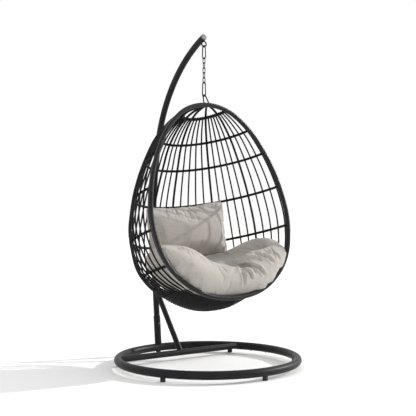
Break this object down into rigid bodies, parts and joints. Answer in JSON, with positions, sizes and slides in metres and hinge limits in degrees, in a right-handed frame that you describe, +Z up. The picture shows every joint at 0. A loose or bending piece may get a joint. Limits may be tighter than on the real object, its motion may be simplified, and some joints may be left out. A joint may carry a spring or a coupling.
{
  "type": "hanging egg chair",
  "caption": "Egg-shaped wicker basket chair with seat and back cushions, hung by snap hooks and a short chain from a curved pole on a ring base, free to swing and turn.",
  "frame": {"origin": "on the floor, midway between the front of the base ring and the back of the pole, in the chair's middle plane", "axes": "+Z up, -Y out of the open face of the basket, +Y towards the pole, +X to the sitter's left"},
  "size_m": [1.1188, 1.1724, 1.9899],
  "materials": {
    "stand_paint": "charcoal powder coat, fine texture, soft sheen",
    "rubber_feet": "matt black",
    "zinc_fastener": "dark zinc plated",
    "end_cap": "moulded grey plastic",
    "chain_steel": "dark galvanised steel",
    "rim_wicker": "near-black synthetic wicker wound on steel tube",
    "basket_steel": "black powder coat",
    "wicker": "near-black synthetic wicker, slight sheen",
    "cushion_fabric": "light warm grey woven polyester"
  },
  "bodies": {
    "stand": {"base_ring_front": "stand_paint", "base_ring_rear": "stand_paint", "ring_spigot_right": "stand_paint", "ring_spigot_left": "stand_paint", "ring_screws": "zinc_fastener", "crossbar": "stand_paint", "post_socket": "stand_paint", "socket_bolt": "zinc_fastener", "pole_lower": "stand_paint", "pole_upper": "stand_paint", "pole_sleeve": "stand_paint", "brace": "stand_paint", "brace_screw": "zinc_fastener", "arm_end_cap": "end_cap", "hang_eye": "stand_paint", "foot_1": "rubber_feet", "foot_2": "rubber_feet", "foot_3": "rubber_feet", "foot_4": "rubber_feet", "foot_5": "rubber_feet", "foot_6": "rubber_feet"},
    "upper_hook": {"upper_hook": "chain_steel"},
    "upper_gate": {"upper_hook_gate": "chain_steel", "upper_gate_pin": "chain_steel"},
    "link_1": {"chain_link_1": "chain_steel"},
    "link_2": {"chain_link_2": "chain_steel"},
    "link_3": {"chain_link_3": "chain_steel"},
    "link_4": {"chain_link_4": "chain_steel"},
    "link_5": {"chain_link_5": "chain_steel"},
    "lower_hook": {"lower_hook": "chain_steel"},
    "lower_gate": {"lower_hook_gate": "chain_steel", "lower_gate_pin": "chain_steel"},
    "basket": {"basket_eye": "basket_steel", "rim": "rim_wicker", "hoop_1": "wicker", "hoop_2": "wicker", "hoop_3": "wicker", "hoop_4": "wicker", "hoop_5": "wicker", "hoop_6": "wicker", "hoop_7": "wicker", "main_rib_1": "wicker", "main_rib_2": "wicker", "main_rib_3": "wicker", "main_rib_4": "wicker", "main_rib_5": "wicker", "main_rib_6": "wicker", "thin_ribs_1": "wicker", "thin_ribs_2": "wicker", "thin_ribs_3": "wicker", "thin_ribs_4": "wicker", "thin_ribs_5": "wicker", "thin_ribs_6": "wicker", "thin_ribs_7": "wicker", "bottom_weave": "wicker", "seat_cushion": "cushion_fabric", "back_pillow": "cushion_fabric"}
  },
  "joints": [
    {"name": "sway_side", "type": "hinge", "parent": "stand", "child": "upper_hook", "pos_m": [0, 0.01231, 1.92105], "axis": [0, 1, 0], "range_deg": [-8, 8]},
    {"name": "swing_fore_aft", "type": "hinge", "parent": "upper_hook", "child": "link_1", "pos_m": [0, 0.01231, 1.84835], "axis": [1, 0, 0], "range_deg": [-22, 1.5]},
    {"name": "chain_twist_1", "type": "hinge", "parent": "link_1", "child": "link_2", "pos_m": [0, 0.01231, 1.81605], "axis": [0, 0, 1], "range_deg": [-20, 20]},
    {"name": "chain_twist_2", "type": "hinge", "parent": "link_2", "child": "link_3", "pos_m": [0, 0.01231, 1.78665], "axis": [0, 0, 1], "range_deg": [-20, 20]},
    {"name": "chain_twist_3", "type": "hinge", "parent": "link_3", "child": "link_4", "pos_m": [0, 0.01231, 1.75725], "axis": [0, 0, 1], "range_deg": [-20, 20]},
    {"name": "chain_twist_4", "type": "hinge", "parent": "link_4", "child": "link_5", "pos_m": [0, 0.01231, 1.72785], "axis": [0, 0, 1], "range_deg": [-20, 20]},
    {"name": "basket_roll", "type": "hinge", "parent": "link_5", "child": "lower_hook", "pos_m": [0, 0.01231, 1.70235], "axis": [0, 1, 0], "range_deg": [-6, 6]},
    {"name": "basket_nod", "type": "hinge", "parent": "lower_hook", "child": "basket", "pos_m": [0, 0.01231, 1.6259], "axis": [1, 0, 0], "range_deg": [-10, 0.8]},
    {"name": "upper_gate_hinge", "type": "hinge", "parent": "upper_hook", "child": "upper_gate", "pos_m": [0, -0.00342, 1.86249], "axis": [1, 0, 0], "range_deg": [-20, 0], "stiffness_Nm_per_rad": 0.3, "springref_deg": 5.73},
    {"name": "lower_gate_hinge", "type": "hinge", "parent": "lower_hook", "child": "lower_gate", "pos_m": [0, -0.00345, 1.63871], "axis": [1, 0, 0], "range_deg": [-20, 0], "stiffness_Nm_per_rad": 0.3, "springref_deg": 5.73}
  ]
}
